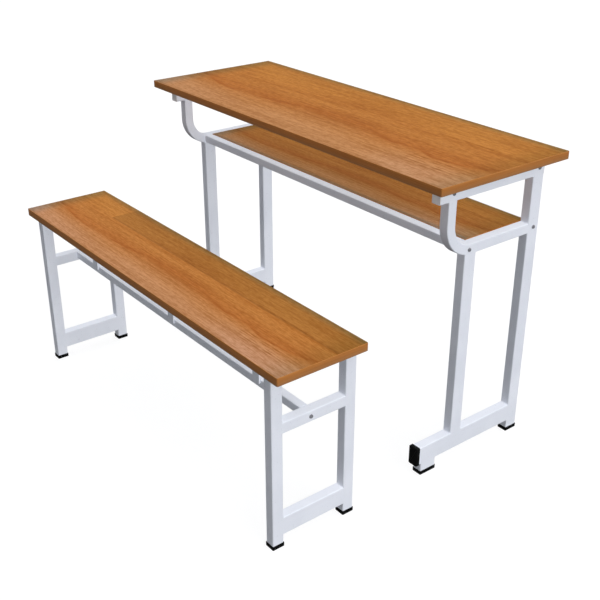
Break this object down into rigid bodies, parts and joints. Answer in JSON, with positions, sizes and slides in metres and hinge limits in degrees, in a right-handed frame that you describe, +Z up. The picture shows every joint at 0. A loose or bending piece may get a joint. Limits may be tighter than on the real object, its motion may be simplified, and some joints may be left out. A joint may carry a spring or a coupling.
{
  "type": "school desk and bench",
  "caption": "Long school desk with a book shelf on bent-tube frames, and its separate backless bench that slides in under it.",
  "frame": {"origin": "on the floor, under the middle of the box round the desk and the bench", "axes": "+X along the desk from left to right, +Y from the bench to the desk, +Z up"},
  "size_m": [1.2, 0.865, 0.778],
  "materials": {
    "powder_coat": "pale grey-white powder coat, satin",
    "laminate": "orange-brown straight-grained wood laminate, satin",
    "grey_plastic": "light grey moulded plastic",
    "black_plastic": "black moulded plastic",
    "foot_rubber": "black rubber, dull",
    "zinc": "dark plated steel"
  },
  "bodies": {
    "desk": {"book_shelf": "laminate", "desk_left_book_tube": "powder_coat", "desk_left_foot_rail": "powder_coat", "desk_left_foot_stub": "powder_coat", "desk_left_front_foot": "foot_rubber", "desk_left_front_leg": "powder_coat", "desk_left_rear_foot": "foot_rubber", "desk_left_rear_leg": "powder_coat", "desk_left_shelf_front_bolt": "zinc", "desk_left_shelf_rear_bolt": "zinc", "desk_left_toe_cap": "black_plastic", "desk_left_top_front_bolt": "zinc", "desk_left_top_rail": "powder_coat", "desk_left_top_rail_front_cap": "grey_plastic", "desk_left_top_rail_rear_cap": "grey_plastic", "desk_left_top_rear_bolt": "zinc", "desk_right_book_tube": "powder_coat", "desk_right_foot_rail": "powder_coat", "desk_right_foot_stub": "powder_coat", "desk_right_front_foot": "foot_rubber", "desk_right_front_leg": "powder_coat", "desk_right_rear_foot": "foot_rubber", "desk_right_rear_leg": "powder_coat", "desk_right_shelf_front_bolt": "zinc", "desk_right_shelf_rear_bolt": "zinc", "desk_right_toe_cap": "black_plastic", "desk_right_top_front_bolt": "zinc", "desk_right_top_rail": "powder_coat", "desk_right_top_rail_front_cap": "grey_plastic", "desk_right_top_rail_rear_cap": "grey_plastic", "desk_right_top_rear_bolt": "zinc", "desk_top": "laminate", "desk_top_front_rail": "powder_coat", "desk_top_rear_rail": "powder_coat", "shelf_front_rail": "powder_coat", "shelf_rear_rail": "powder_coat"},
    "bench": {"bench_left_cross_rail": "powder_coat", "bench_left_front_foot": "foot_rubber", "bench_left_front_leg": "powder_coat", "bench_left_front_seat_screw": "zinc", "bench_left_low_rail": "powder_coat", "bench_left_rear_foot": "foot_rubber", "bench_left_rear_leg": "powder_coat", "bench_left_rear_seat_screw": "zinc", "bench_left_seat_rail_bolt": "zinc", "bench_right_cross_rail": "powder_coat", "bench_right_front_foot": "foot_rubber", "bench_right_front_leg": "powder_coat", "bench_right_front_seat_screw": "zinc", "bench_right_low_rail": "powder_coat", "bench_right_rear_foot": "foot_rubber", "bench_right_rear_leg": "powder_coat", "bench_right_rear_seat_screw": "zinc", "bench_right_seat_rail_bolt": "zinc", "bench_seat": "laminate", "seat_bracket_left": "powder_coat", "seat_bracket_middle": "powder_coat", "seat_bracket_right": "powder_coat", "seat_rail": "powder_coat"}
  },
  "joints": [
    {"name": "bench_slide", "type": "slide", "parent": "desk", "child": "bench", "axis": [0, 1, 0], "range_m": [-0.3, 0.2]}
  ]
}
